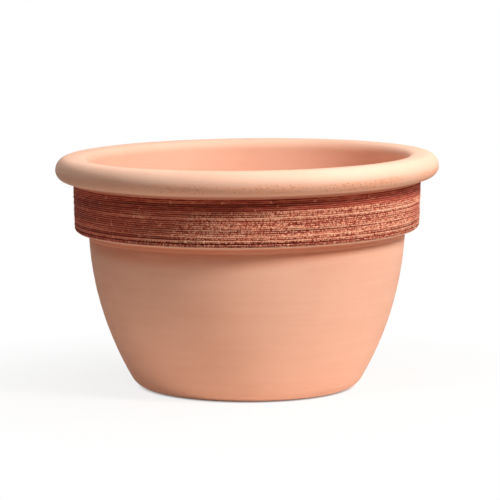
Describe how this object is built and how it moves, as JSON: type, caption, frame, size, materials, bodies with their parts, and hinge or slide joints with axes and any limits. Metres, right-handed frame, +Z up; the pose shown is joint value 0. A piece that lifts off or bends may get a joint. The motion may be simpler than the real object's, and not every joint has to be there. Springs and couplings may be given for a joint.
{
  "type": "terracotta bowl planter",
  "caption": "Low round terracotta planter with a thick rolled rim, a dark combed band below it, a bowed plain wall and a flat foot with a drain hole.",
  "frame": {"origin": "centre of the plane the foot ring rests on", "axes": "+Z up along the pot's axis of revolution, -Y towards the picture's camera, +X to the picture's right"},
  "size_m": [0.3999, 0.4, 0.2435],
  "materials": {
    "smooth_terracotta": "matte",
    "combed_terracotta": "rough"
  },
  "bodies": {
    "root": {"foot_slab": "smooth_terracotta", "bowl_wall": "smooth_terracotta", "neck_ring": "smooth_terracotta", "combed_band": "combed_terracotta", "rolled_rim": "smooth_terracotta"}
  },
  "joints": []
}
